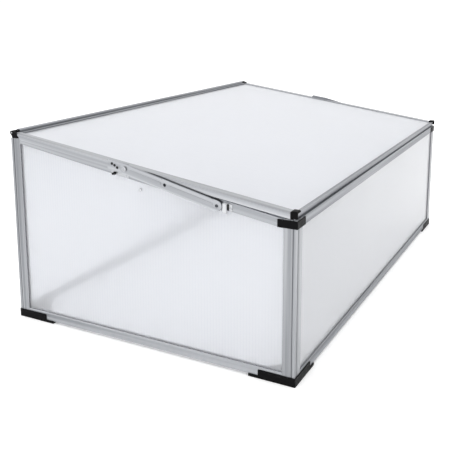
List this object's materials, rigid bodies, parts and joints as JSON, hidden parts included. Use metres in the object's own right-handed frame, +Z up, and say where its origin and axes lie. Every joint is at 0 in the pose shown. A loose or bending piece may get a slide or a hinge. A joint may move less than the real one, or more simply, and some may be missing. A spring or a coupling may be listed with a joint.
{
  "type": "cold frame",
  "caption": "Low rectangular cold frame with aluminium rails, translucent twin-wall sheets, black plastic corners and a sloping lid hinged at the back with side stays.",
  "frame": {"origin": "middle of the footprint, on the ground", "axes": "+X along the width, to the right seen from the low front; -Y is the low front and +Y the tall hinged back; +Z up"},
  "size_m": [1.013, 0.6, 0.3816],
  "materials": {
    "rail_aluminium": "mill-finish extrusion, satin",
    "twin_wall_sheet": "translucent twin-wall polycarbonate",
    "black_plastic": "moulded, fine grain",
    "fitting_steel": "zinc plated",
    "grey_plastic": "moulded",
    "black_rubber": "matt",
    "black_steel": "blackened steel"
  },
  "bodies": {
    "frame": {"bottom_rail_back": "rail_aluminium", "bottom_rail_front": "rail_aluminium", "bottom_rail_left": "rail_aluminium", "bottom_rail_right": "rail_aluminium", "clip_bumper_left": "black_rubber", "clip_bumper_right": "black_rubber", "corner_band_left": "black_plastic", "corner_band_right": "black_plastic", "foot_back_left": "black_plastic", "foot_back_right": "black_plastic", "foot_front_left": "black_plastic", "foot_front_right": "black_plastic", "hinge_pin_left": "fitting_steel", "hinge_pin_right": "fitting_steel", "hinge_saddle_left": "black_plastic", "hinge_saddle_right": "black_plastic", "peg_plate_left": "fitting_steel", "peg_plate_right": "fitting_steel", "plate_rivets_left": "fitting_steel", "plate_rivets_right": "fitting_steel", "post_back_left": "rail_aluminium", "post_back_right": "rail_aluminium", "post_front_left": "rail_aluminium", "post_front_right": "rail_aluminium", "sheet_back": "twin_wall_sheet", "sheet_front": "twin_wall_sheet", "sheet_left": "twin_wall_sheet", "sheet_right": "twin_wall_sheet", "sheet_stud_left": "grey_plastic", "sheet_stud_right": "grey_plastic", "stay_clip_left": "grey_plastic", "stay_clip_right": "grey_plastic", "stay_peg_left": "black_steel", "stay_peg_right": "black_steel", "top_rail_back": "rail_aluminium", "top_rail_front": "rail_aluminium", "top_rail_left": "rail_aluminium", "top_rail_right": "rail_aluminium"},
    "lid": {"bracket_screws_left": "black_steel", "bracket_screws_right": "black_steel", "lid_bracket_left": "rail_aluminium", "lid_bracket_right": "rail_aluminium", "lid_cap_left": "black_plastic", "lid_cap_right": "black_plastic", "lid_hinge_key_left": "black_plastic", "lid_hinge_key_right": "black_plastic", "lid_rail_back": "rail_aluminium", "lid_rail_front": "rail_aluminium", "lid_rail_left": "rail_aluminium", "lid_rail_right": "rail_aluminium", "lid_sheet": "twin_wall_sheet", "stay_rivet_left": "fitting_steel", "stay_rivet_right": "fitting_steel"},
    "stay_left": {"stay_bar_left": "rail_aluminium"},
    "stay_right": {"stay_bar_right": "rail_aluminium"}
  },
  "joints": [
    {"name": "lid_hinge", "type": "hinge", "parent": "frame", "child": "lid", "pos_m": [0, 0.295, 0.3766], "axis": [-1, 0, 0], "range_deg": [0, 100]},
    {"name": "stay_left_pivot", "type": "hinge", "parent": "lid", "child": "stay_left", "pos_m": [-0.5031, 0.0274, 0.3344], "axis": [1, 0, 0], "range_deg": [0, 114]},
    {"name": "stay_right_pivot", "type": "hinge", "parent": "lid", "child": "stay_right", "pos_m": [0.5031, 0.0274, 0.3344], "axis": [1, 0, 0], "range_deg": [0, 114]}
  ]
}
